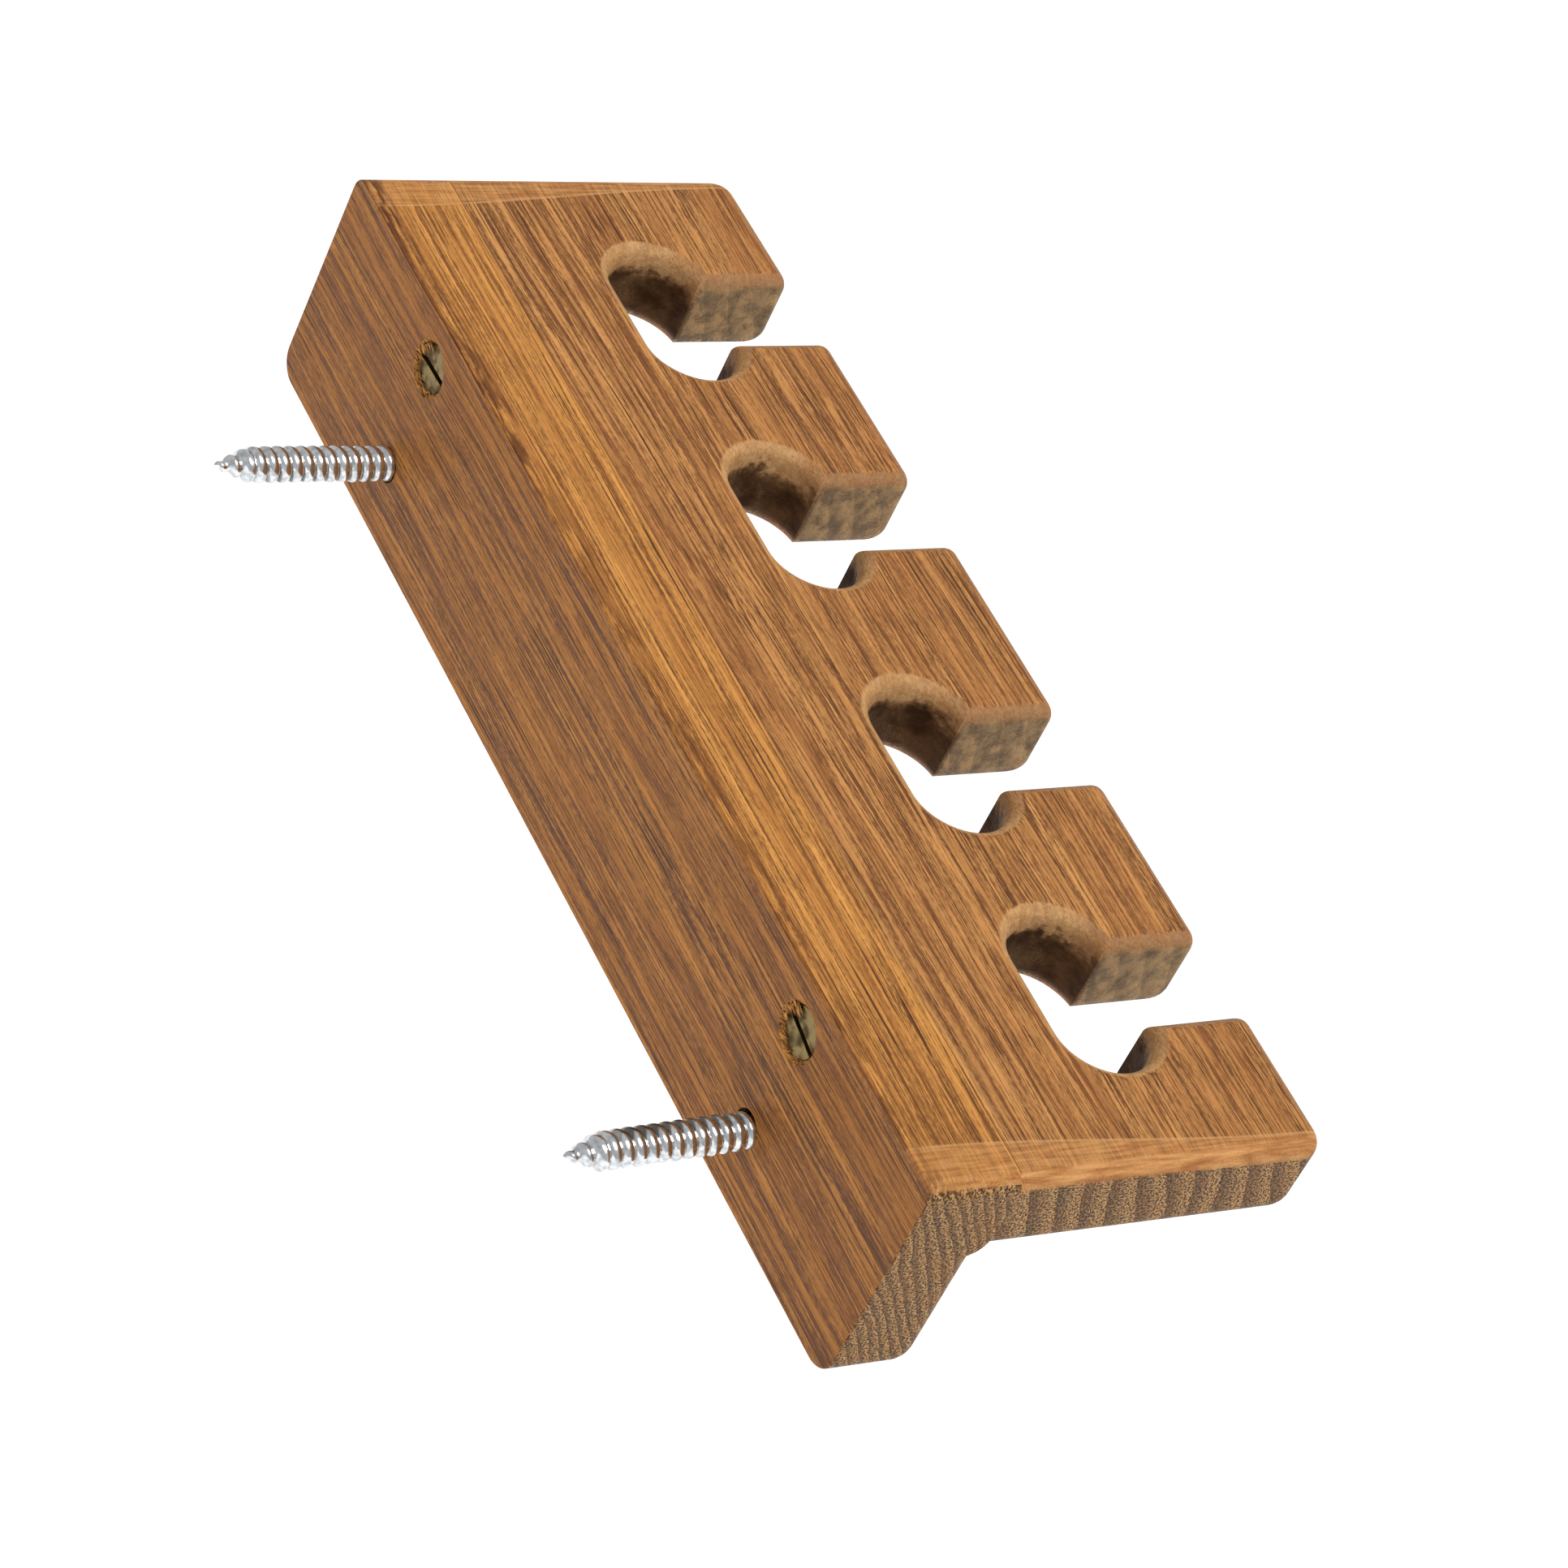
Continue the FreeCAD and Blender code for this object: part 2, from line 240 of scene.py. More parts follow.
def makeFacing():
    tree, given, result = newGroup("facing", [("Normal", vector, None)], [
        ("End", number), ("Rim", number), ("Upright", number)])
    parts = add(tree, "ShaderNodeSeparateXYZ", {0: given.outputs["Normal"]})
    endways = calc(tree, "ABSOLUTE", parts.outputs[0])
    tree.links.new(ramp(tree, endways, *facingLimits["end"]), result.inputs["End"])
    rising = ramp(tree, parts.outputs[2], *facingLimits["rising"])
    notFlat = ramp(tree, parts.outputs[2], *facingLimits["notFlat"])
    tree.links.new(product(tree, rising, notFlat), result.inputs["Rim"])
    level = calc(tree, "ABSOLUTE", parts.outputs[2])
    tree.links.new(ramp(tree, level, *facingLimits["upright"]), result.inputs["Upright"])
    return tree


grainPlace = makeGrainPlace()
fibres = makeFibres()
pores = makePores()
rings = makeRings()
facing = makeFacing()
print("shader groups ready:", len(bpy.data.node_groups))


def newMaterial(name):
    material = bpy.data.materials.new(name)
    material.use_nodes = True
    tree = material.node_tree
    shader = tree.nodes["Principled BSDF"]
    return material, tree, shader


hardwood = {
    "back": {
        "shift": (40, 11, 3), "wander": 1.1, "slope": 0.006,
        "lean": -0.55, "ringSpacing": 2.4, "wobble": 2.2,
        "light": tone(222, 154, 78), "dark": tone(106, 64, 30), "warm": tone(168, 106, 50)},
    "shelf": {
        "shift": (310, 70, 40), "wander": 1.8, "slope": -0.012,
        "lean": -0.35, "ringSpacing": 5.8, "wobble": 0.45,
        "light": tone(210, 148, 84), "dark": tone(98, 59, 30), "warm": tone(160, 99, 52)},
    # painted shade: the rear face's colour is multiplied by this
    "rearShade": (0.86, 0.78, 0.68, 1.0),
    "endDark": tone(54, 36, 22),
    "endPale": tone(194, 150, 96),
    "endPore": tone(48, 32, 20),
    "routed": tone(212, 154, 94),
    "pocketRim": tone(210, 164, 110),
    "mouthRim": tone(166, 126, 86),
    "torn": tone(84, 45, 18),
    "pore": tone(58, 31, 14),
    "burntAndShaded": tone(52, 31, 14),
    "pocketWall": tone(122, 86, 46),
    "mouthPale": tone(176, 142, 96),
    "mouthStain": tone(88, 74, 54),
}
# Fibres as length, width, detail and contrast; vessels as length, width, share and size; lengths in mm.
fibreKinds = {
    "streak": (64, 0.85, 4, 0.34), "fine": (24, 0.3, 3, 0.34), "mottle": (1.5, 0.42, 3, 0.4),
    "cast": (150, 4.5, 3, 0.4), "speckle": (3, 0.44, 2, 0.15), "endCast": (20, 4, 3, 0.5),
    "crossLines": (0.7, 9.0, 3, 0.45), "rimCast": (5, 2.4, 3, 0.4), "rimFlecks": (0.9, 0.8, 3, 0.3),
    "mouthStain": (9, 3.4, 4, 0.34), "pocketStain": (9, 5, 4, 0.5), "ragged": (1.6, 1.2, 3, 0.5),
    "torn": (8, 1.6, 5, 0.16), "tornStretch": (50, 30, 2, 0.3),
}
vesselKinds = {
    "threads": (46, 0.42, 0.3, 0.34), "dashes": (10, 0.34, 0.5, 0.36),
    "cracks": (52, 0.6, 0.24, 0.3), "endPores": (3, 0.8, 0.35, 0.3),
}
# how strongly each layer covers what is under it
cover = {
    "cast": 0.55, "ring": 0.3, "threads": 0.5, "dashes": 0.5, "cracks": 0.85,
    "endRing": 0.55, "endPores": 0.5, "endCast": 0.2,
    "rim": 0.85, "rimCast": 0.45, "rimFlecks": 0.3, "band": 0.62, "scratch": 0.4, "seam": 0.6,
    "mouth": 0.85, "mouthMottle": 0.3, "mouthRing": 0.3, "pocket": 0.8, "fresh": 0.85, "torn": 0.9,
}
shadeMix = {"streak": 0.4, "fine": 0.38, "mottle": 0.22, "range": (0.24, 0.74)}
endMix = {"ring": -0.3, "range": (0.0, 0.85)}
reliefMix = {"fine": 0.45, "mottle": 0.25, "pores": -1.0, "strength": 0.8, "depth": 0.16 * mm}
gloss = {"plain": 0.25, "scorched": 0.05, "smooth": 0.5, "rough": 0.62}
rackFront, rackTop, rackEnd = cadBox[0][1], cadBox[1][2], cadBox[1][0]
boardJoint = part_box("cue_shelf")[1].y
endBand = {
    "front": 3.4 * mm, "back": 9.5 * mm, "frontDrop": 3.2 * mm, "backDrop": 1.0 * mm,
    "edge": (0.5 * mm, -0.5 * mm), "scratch": (0.35 * mm, 0.1 * mm), "rackStarts": (5 * mm, 8 * mm)}
seamLine = {"width": (0.5 * mm, 0.15 * mm), "depth": (-0.4 * mm, -0.1 * mm)}
# rear: where the rear face's painted shade comes in
tornEdge = {"reach": (-5.5 * mm, -1.6 * mm), "rear": (-0.7 * mm, -0.25 * mm)}
notches = {
    "fingerLength": 21.5 * mm, "pocketWidth": 19.05 * mm, "mouthEnd": (0.2 * mm, -1.6 * mm),
    "pocketEnd": (0.8 * mm, 0.3 * mm), "rimTurns": (-2 * mm, 3 * mm), "fresh": (-3.2 * mm, -0.6 * mm),
    "deep": (-0.8 * mm, -4.6 * mm), "charring": (0.6, 0.97), "stainSag": 3.5 * mm, "raggedSag": 1.6 * mm}


def makeHardwood(name, look, notch=None):
    material, tree, shader = newMaterial(name)
    coordinates = add(tree, "ShaderNodeTexCoord")
    place = coordinates.outputs["Object"]
    sideways, forward, height = add(tree, "ShaderNodeSeparateXYZ", {0: place}).outputs
    timber = useGroup(tree, grainPlace, {
        "Place": place, "Shift": look["shift"], "Wander": look["wander"],
        "Slope": look["slope"]}).outputs[0]
    faces = useGroup(tree, facing, {"Normal": coordinates.outputs["Normal"]})

    def shade(kind):
        names = ("Length", "Width", "Detail", "Contrast")
        return useGroup(tree, fibres, {"Timber": timber, **dict(zip(names, fibreKinds[kind]))}).outputs[0]

    def vessels(kind):
        names = ("Length", "Width", "Share", "Size")
        return useGroup(tree, pores, {"Timber": timber, **dict(zip(names, vesselKinds[kind]))}).outputs[0]

    def weighed(*pairs):
        total = 0.0
        for value, weight in pairs:
            total = calc(tree, "MULTIPLY_ADD", value, weight, total)
        return total

    def layer(base, kind, mask, colour):
        return mixed(tree, calc(tree, "MULTIPLY", mask, cover[kind]), base, colour)

    def between(value, start, limits):
        return ramp(tree, value, start + limits[0], start + limits[1])

    # side faces: fibres in three sizes, a redder cast in broad bands, dark open pores and pale threads
    streak, fine, mottle = shade("streak"), shade("fine"), shade("mottle")
    late = useGroup(tree, rings, {
        "Timber": timber, "Spacing": look["ringSpacing"], "Lean": look["lean"],
        "Wobble": look["wobble"]}).outputs[0]
    body = weighed((streak, shadeMix["streak"]), (fine, shadeMix["fine"]), (mottle, shadeMix["mottle"]))
    wood = mixed(tree, ramp(tree, body, *shadeMix["range"]), look["dark"], look["light"])
    wood = layer(wood, "cast", shade("cast"), look["warm"])
    wood = layer(wood, "ring", late, look["dark"])
    wood = layer(wood, "threads", vessels("threads"), look["light"])
    dashes = product(tree, vessels("dashes"), cover["dashes"])
    cracks = product(tree, vessels("cracks"), cover["cracks"])
    poreShare = calc(tree, "MAXIMUM", dashes, cracks)
    wood = mixed(tree, poreShare, wood, hardwood["pore"])

    # end faces: greyer, with dense pale vessels crowded along the growth rings
    crowd = calc(tree, "MULTIPLY_ADD", late, endMix["ring"], shade("speckle"))
    endWood = mixed(tree, ramp(tree, crowd, *endMix["range"]), hardwood["endDark"], hardwood["endPale"])
    endWood = layer(endWood, "endRing", late, hardwood["endDark"])
    endWood = layer(endWood, "endPores", vessels("endPores"), hardwood["endPore"])
    endWood = layer(endWood, "endCast", shade("endCast"), look["warm"])
    wood = mixed(tree, faces.outputs["End"], wood, endWood)

    # rounded upper rims: freshly cut wood, orange at the ends, paler and lined round the notches
    routed = mixed(tree, shade("crossLines"), look["warm"], hardwood["routed"])
    inset = calc(tree, "SUBTRACT", rackEnd, calc(tree, "ABSOLUTE", sideways))
    inRack = between(inset, 0, endBand["rackStarts"])
    if notch:
        low = rackFront + notch["fingerLength"]
        high = low + notch["pocketWidth"]
        inward = between(forward, low, notch["rimTurns"])
        paleRim = mixed(tree, inward, hardwood["mouthRim"], hardwood["pocketRim"])
        paleRim = layer(paleRim, "rimCast", shade("rimCast"), look["warm"])
        paleRim = layer(paleRim, "rimFlecks", shade("rimFlecks"), look["dark"])
        wood = layer(wood, "rim", faces.outputs["Rim"], mixed(tree, inRack, routed, paleRim))

    # the ends' upper band widens towards the rear and has a scratch along its inner edge
    backShare = ramp(tree, forward, rackFront, 0.0)
    widening = endBand["back"] - endBand["front"]
    reach = calc(tree, "MULTIPLY_ADD", backShare, widening, endBand["front"])
    falling = endBand["backDrop"] - endBand["frontDrop"]
    drop = calc(tree, "MULTIPLY_ADD", backShare, falling, endBand["frontDrop"])
    above = calc(tree, "GREATER_THAN", height, calc(tree, "SUBTRACT", rackTop, drop))
    past = calc(tree, "SUBTRACT", inset, reach)
    wood = layer(wood, "band", product(tree, between(past, 0, endBand["edge"]), above), routed)
    scratch = product(tree, between(calc(tree, "ABSOLUTE", past), 0, endBand["scratch"]), above)
    wood = layer(wood, "scratch", scratch, hardwood["pocketRim"])

    shader.inputs["Specular IOR Level"].default_value = gloss["plain"]
    if notch:
        # mouth walls are pale and stained; pocket walls are scorched by the cutter below a pale rim, and
        # darker deeper down, which is partly scorch and partly painted shade
        upright = product(tree, faces.outputs["Upright"], inRack)
        inMouth = product(tree, upright, between(forward, low, notch["mouthEnd"]), faces.outputs["End"])
        pale = mixed(tree, shade("mouthStain"), hardwood["mouthPale"], hardwood["mouthStain"])
        pale = layer(pale, "mouthMottle", mottle, hardwood["mouthRim"])
        pale = layer(pale, "mouthRing", late, hardwood["mouthStain"])
        wood = layer(wood, "mouth", inMouth, pale)
        pastMouth = between(forward, low, notch["mouthEnd"][::-1])
        pocket = product(tree, pastMouth, between(forward, high, notch["pocketEnd"]), upright)
        stain = shade("pocketStain")
        ragged = calc(tree, "MULTIPLY_ADD", stain, notch["stainSag"], height)
        ragged = calc(tree, "MULTIPLY_ADD", shade("ragged"), notch["raggedSag"], ragged)
        wood = layer(wood, "pocket", pocket, hardwood["pocketWall"])
        fresh = between(ragged, rackTop, notch["fresh"])
        wood = layer(wood, "fresh", product(tree, pocket, fresh), paleRim)
        charred = ramp(tree, stain, 1.0, 0.0, *notch["charring"])
        # scorch and painted shade together: the walls darken deeper into the pocket, in patches
        scorchAndShade = product(tree, pocket, between(ragged, rackTop, notch["deep"]), charred)
        wood = mixed(tree, scorchAndShade, wood, hardwood["burntAndShaded"])
        shine = calc(tree, "MULTIPLY_ADD", scorchAndShade, gloss["scorched"] - gloss["plain"], gloss["plain"])
        tree.links.new(shine, shader.inputs["Specular IOR Level"])
        seamTone = look["dark"]
    else:
        # torn dark fibre along the rear upper edge; the rear face gets painted shade, a darker copy of the
        # wood for the side the light reaches less
        level = calc(tree, "SUBTRACT", 1.0, faces.outputs["Upright"])
        stretches = calc(tree, "MULTIPLY_ADD", shade("tornStretch"), 0.5, 0.5)
        torn = product(tree, between(forward, 0, tornEdge["reach"]), shade("torn"), level, stretches)
        wood = layer(wood, "torn", torn, hardwood["torn"])
        shadedRear = mixed(tree, 1.0, wood, hardwood["rearShade"], "MULTIPLY")
        wood = mixed(tree, between(forward, 0, tornEdge["rear"]), wood, shadedRear)
        seamTone = look["light"]
    fromJoint = calc(tree, "ABSOLUTE", calc(tree, "SUBTRACT", forward, boardJoint))
    onTop = between(height, rackTop, seamLine["depth"])
    seam = product(tree, between(fromJoint, 0, seamLine["width"]), onTop)
    wood = layer(wood, "seam", seam, seamTone)

    relief = weighed(
        (fine, reliefMix["fine"]), (mottle, reliefMix["mottle"]), (poreShare, reliefMix["pores"]))
    bump = add(tree, "ShaderNodeBump", {
        "Height": relief, "Strength": reliefMix["strength"], "Distance": reliefMix["depth"]})
    roughness = ramp(tree, streak, 0.0, 1.0, gloss["smooth"], gloss["rough"])
    tree.links.new(wood, shader.inputs["Base Color"])
    tree.links.new(roughness, shader.inputs["Roughness"])
    tree.links.new(bump.outputs[0], shader.inputs["Normal"])
    return material


# Freshly torn fibre in the screw seats.
tornFibre = {
    "wander": 0.4, "length": 2.2, "width": 0.5, "contrast": 0.35, "strength": 0.7, "depth": 0.2 * mm,
    "dark": tone(96, 56, 26), "pale": tone(226, 158, 84), "roughness": 0.75, "gloss": 0.2}


def makeTornWood():
    material, tree, shader = newMaterial("tornWood")
    place = add(tree, "ShaderNodeTexCoord").outputs["Object"]
    timber = useGroup(tree, grainPlace, {"Place": place, "Wander": tornFibre["wander"]}).outputs[0]
    shade = useGroup(tree, fibres, {
        "Timber": timber, "Length": tornFibre["length"], "Width": tornFibre["width"],
        "Contrast": tornFibre["contrast"]}).outputs[0]
    wood = mixed(tree, shade, tornFibre["dark"], tornFibre["pale"])
    tree.links.new(wood, shader.inputs["Base Color"])
    bump = add(tree, "ShaderNodeBump", {
        "Height": shade, "Strength": tornFibre["strength"], "Distance": tornFibre["depth"]})
    tree.links.new(bump.outputs[0], shader.inputs["Normal"])
    shader.inputs["Roughness"].default_value = tornFibre["roughness"]
    shader.inputs["Specular IOR Level"].default_value = tornFibre["gloss"]
    return material


# Uneven metal: a blotchy film that changes colour and roughness, and fine scratches.
filmRules = {"detail": 4.0, "edge": (0.35, 0.65), "scratchDetail": 2.0, "scratchDrawn": (0.12, 1, 1)}


def makeFilm():
    tree, given, result = newGroup("film", [
        ("Place", vector, None), ("Patch", number, 1.2), ("Scratch", number, 0.15)], [
        ("Patches", number), ("Scratches", number)])
    inMillimetres = calcVector(tree, "MULTIPLY", given.outputs["Place"], (1000, 1000, 1000))
    size = calc(tree, "DIVIDE", 1.0, given.outputs["Patch"])
    blotch = noise(tree, inMillimetres, filmRules["detail"], Scale=size)
    tree.links.new(ramp(tree, blotch, *filmRules["edge"]), result.inputs["Patches"])
    fineness = calc(tree, "DIVIDE", 1.0, given.outputs["Scratch"])
    stretched = calcVector(tree, "MULTIPLY", inMillimetres, filmRules["scratchDrawn"])
    lines = noise(tree, stretched, filmRules["scratchDetail"], Scale=fineness)
    tree.links.new(lines, result.inputs["Scratches"])
    return tree


film = makeFilm()


def grooveShade(tree, place, groove):
    # painted shade close to the screw's axis, darkening the thread roots, which leaves the bright tip alone
    parts = add(tree, "ShaderNodeSeparateXYZ", {0: place})
    aside = calc(tree, "SUBTRACT", calc(tree, "ABSOLUTE", parts.outputs[0]), groove["axis"][0])
    upward = calc(tree, "SUBTRACT", parts.outputs[2], groove["axis"][1])
    offset = add(tree, "ShaderNodeCombineXYZ", {0: aside, 1: upward}).outputs[0]
    radius = add(tree, "ShaderNodeVectorMath", {0: offset}, operation="LENGTH").outputs["Value"]
    inGroove = ramp(tree, radius, groove["clean"], groove["shadedRadius"])
    behindTip = ramp(tree, parts.outputs[1], groove["tipUnshaded"], groove["tipStart"])
    return product(tree, inGroove, behindTip, groove["cover"])


def makeMetal(name, finish):
    material, tree, shader = newMaterial(name)
    place = add(tree, "ShaderNodeTexCoord").outputs["Object"]
    surface = useGroup(tree, film, {
        "Place": place, "Patch": finish["patch"], "Scratch": finish["scratch"]})
    colour = mixed(tree, surface.outputs["Patches"], finish["clean"], finish["dull"])
    if "groove" in finish:
        groove = finish["groove"]
        # painted shade in the thread roots, laid over the metal colour
        colour = mixed(tree, grooveShade(tree, place, groove), colour, groove["tone"])
    tree.links.new(colour, shader.inputs["Base Color"])
    rough = ramp(tree, surface.outputs["Patches"], 0.0, 1.0, *finish["roughness"])
    tree.links.new(rough, shader.inputs["Roughness"])
    bump = add(tree, "ShaderNodeBump", {
        "Height": surface.outputs["Scratches"], "Strength": 0.5, "Distance": finish["relief"]})
    tree.links.new(bump.outputs[0], shader.inputs["Normal"])
    shader.inputs["Metallic"].default_value = 1.0
    return material


def screwAxis(node):
    low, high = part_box(node)
    return (low.x + high.x) / 2, (low.z + high.z) / 2


brass = {
    "clean": tone(140, 120, 78), "dull": tone(88, 74, 48), "roughness": (0.36, 0.6),
    "patch": 2.4, "scratch": 0.2, "relief": 0.03 * mm}
zinc = {
    "clean": tone(240, 243, 246), "dull": tone(196, 199, 202), "roughness": (0.12, 0.28),
    "patch": 1.1, "scratch": 0.3, "relief": 0.03 * mm,
    # groove: where painted shade darkens the thread roots
    "groove": {
        "axis": screwAxis("wall_screw_right"), "clean": 2.95 * mm, "shadedRadius": 2.65 * mm, "cover": 0.85,
        "tipUnshaded": 28 * mm, "tipStart": 25 * mm, "tone": tone(84, 80, 72)}}
agedBrass = makeMetal("agedBrass", brass)
brightZinc = makeMetal("brightZinc", zinc)
tornWood = makeTornWood()
backTeak = makeHardwood("backTeak", hardwood["back"])
shelfTeak = makeHardwood("shelfTeak", hardwood["shelf"], notches)
print("materials ready:", len(bpy.data.materials))


# The boards keep the frame's shape: a merged copy, smooth over the roundovers and crisp elsewhere.
merging = {"copied": (0.002 * mm, 0.001 * mm), "mitred": (0.006 * mm, 0.004 * mm)}


def tidied(shape, mesh, merge, dissolve):
    bmesh.ops.remove_doubles(shape, verts=shape.verts, dist=merge)
    bmesh.ops.dissolve_degenerate(shape, edges=shape.edges, dist=dissolve)
    shape.to_mesh(mesh)
    shape.free()


def boardCopy(node, name):
    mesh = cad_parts[node].data.copy()
    mesh.name = name
    mesh.materials.clear()
    shape = bmesh.new()
    shape.from_mesh(mesh)
    tidied(shape, mesh, *merging["copied"])
    return newObject(name, mesh)


def smoothBoard(board, sharpAngle=32):
    for face in board.data.polygons:
        face.use_smooth = True
    shape = bmesh.new()
    shape.from_mesh(board.data)
    limit = math.radians(sharpAngle)
    for edge in shape.edges:
        edge.smooth = len(edge.link_faces) == 2 and edge.calc_face_angle(0.0) < limit
    shape.to_mesh(board.data)
    shape.free()
    weighted = board.modifiers.new("flat faces stay flat", "WEIGHTED_NORMAL")
    weighted.mode = "FACE_AREA"
    weighted.weight = 100
    weighted.keep_sharp = True
    return frozen(board)


# The front ends' rounding runs up into the inside corner and meets the shelf's lower rounding in a mitre.
insideCorner = {
    "radius": 5.3 * mm, "stop": 0.3 * mm, "rows": 10, "steps": 12, "spare": 1 * mm,
    "least": 0.01 * mm, "overlap": 0.02 * mm, "clearance": 0.004 * mm}


def mitreLevels(under):
    # heights with the radius at each: none at the top of the shelf's rounding, full at its underside
    full, rows = insideCorner["radius"], insideCorner["rows"]
    levels = []
    for row in range(rows + 1):
        rise = full * (1 - math.sin(math.pi / 2 * row / rows))
        radius = full - math.sqrt(full ** 2 - (full - rise) ** 2)
        levels.append((under + rise, max(radius, insideCorner["least"])))
    bottom = under - insideCorner["stop"] - insideCorner["overlap"]
    levels.append((bottom, full + insideCorner["clearance"]))
    return levels


def mitreCutter(end):
    shelfLow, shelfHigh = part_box("cue_shelf")
    front, spare = shelfHigh.y, insideCorner["spare"]
    shape = bmesh.new()
    rows = []
    for level, radius in mitreLevels(shelfLow.z):
        outline = [(rackEnd + spare, front - spare), (rackEnd - radius, front - spare)]
        for step in range(insideCorner["steps"] + 1):
            turn = math.pi / 2 * step / insideCorner["steps"]
            inward, forward = radius * (1 - math.sin(turn)), radius * (1 - math.cos(turn))
            outline.append((rackEnd - inward, front + forward))
        outline.append((rackEnd + spare, front + radius))
        rows.append([shape.verts.new((end * x, y, level)) for x, y in outline])
    for upper, lower in zip(rows, rows[1:]):
        for index in range(len(upper)):
            after = (index + 1) % len(upper)
            shape.faces.new((upper[index], upper[after], lower[after], lower[index]))
    shape.faces.new(rows[0])
    shape.faces.new(rows[-1])
    bmesh.ops.recalc_face_normals(shape, faces=shape.faces)
    mesh = bpy.data.meshes.new("cutter")
    shape.to_mesh(mesh)
    shape.free()
    return newObject("cutter", mesh)


def addCut(thing, cutter):
    cut = thing.modifiers.new("cut", "BOOLEAN")
    cut.operation = "DIFFERENCE"
    cut.solver = "EXACT"
    cut.object = cutter


def mitreInsideCorner(board):
    for end in (-1, 1):
        cutter = mitreCutter(end)
        addCut(board, cutter)
        frozen(board)
        bpy.data.objects.remove(cutter)
    shape = bmesh.new()
    shape.from_mesh(board.data)
    tidied(shape, board.data, *merging["mitred"])


# Splintered seats of the two slotted screws: rough walls, and slivers leaning over the rim on one side.
seatWall = {"reach": 6 * mm, "flat": 0.95}
sliver = {
    "slope": 0.35, "sideways": 0.8, "inward": 0.5, "thick": (0.16, 0.4), "behind": 0.4, "ahead": 0.6,
    "lift": (-0.15, 0.3), "sunk": -0.06 * mm}
splinterSets = [
    {"count": 26, "fan": (40, -130), "radius": (4.5 * mm, 5.3 * mm), "depth": (0.1 * mm, 0.7 * mm),
     "length": (0.9 * mm, 2.6 * mm), "width": (0.12 * mm, 0.34 * mm)},
    {"count": 9, "fan": (60, -10), "radius": (3.7 * mm, 5.0 * mm), "depth": (0.15 * mm, 0.4 * mm),
     "length": (1.6 * mm, 3.0 * mm), "width": (0.3 * mm, 0.6 * mm)}]


def addSplinter(shape, x, z, kind):
    angle = math.radians(random.uniform(*kind["fan"]))
    radius = random.uniform(*kind["radius"])
    depth = random.uniform(*kind["depth"])
    root = Vector((x + radius * math.cos(angle), -depth, z + radius * math.sin(angle)))
    inward = Vector((-math.cos(angle), 0, -math.sin(angle)))
    aside = Vector((-1, 0, random.uniform(-sliver["slope"], sliver["slope"])))
    along = (aside * sliver["sideways"] + inward * sliver["inward"]).normalized()
    across = Vector((along.z, 0, -along.x)) * random.uniform(*kind["width"])
    length = random.uniform(*kind["length"])
    thick = Vector((0, random.uniform(*sliver["thick"]) * mm, 0))
    start = root - along * length * sliver["behind"]
    end = root + along * length * sliver["ahead"]
    end.y = min(end.y + random.uniform(*sliver["lift"]) * mm, sliver["sunk"])
    made = [shape.verts.new(corner) for corner in (start - across, start + across, start - thick, end)]
    sides = [shape.faces.new([made[pick] for pick in picks])
             for picks in ((0, 1, 2), (0, 3, 1), (1, 3, 2), (2, 3, 0))]
    for face in sides:
        face.material_index = 1
    bmesh.ops.recalc_face_normals(shape, faces=sides)


def splinterSeats(board):
    random.seed(11)
    shape = bmesh.new()
    shape.from_mesh(board.data)
    axes = [screwAxis(f"joint_screw_{side}") for side in ("left", "right")]
    for face in shape.faces:
        centre = face.calc_center_median()
        nearest = min(math.hypot(centre.x - x, centre.z - z) for x, z in axes)
        if nearest < seatWall["reach"] and abs(face.normal.y) < seatWall["flat"]:
            face.material_index = 1
    for x, z in axes:
        for kind in splinterSets:
            for _ in range(kind["count"]):
                addSplinter(shape, x, z, kind)
    shape.to_mesh(board.data)
    shape.free()


backBoard = boardCopy("back_board", "backBoard")
mitreInsideCorner(backBoard)
backBoard.data.materials.clear()
backBoard.data.materials.append(backTeak)
backBoard.data.materials.append(tornWood)
splinterSeats(backBoard)
smoothBoard(backBoard)
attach(backBoard, "root")
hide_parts("back_board")

cueShelf = boardCopy("cue_shelf", "cueShelf")
cueShelf.data.materials.append(shelfTeak)
smoothBoard(cueShelf)
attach(cueShelf, "root")
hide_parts("cue_shelf")
print("boards ready")


# A screw thread as one closed skin: a grid wrapped round the axis, whose radius follows the helix.
threadShape = {
    "narrowing": 2.2, "rootTaper": 0.85, "crestTaper": 0.35, "dentScale": 1.6, "dentTurns": 0.8,
    "closedEnds": (0.0001, 0.9999), "merge": 0.002 * mm}


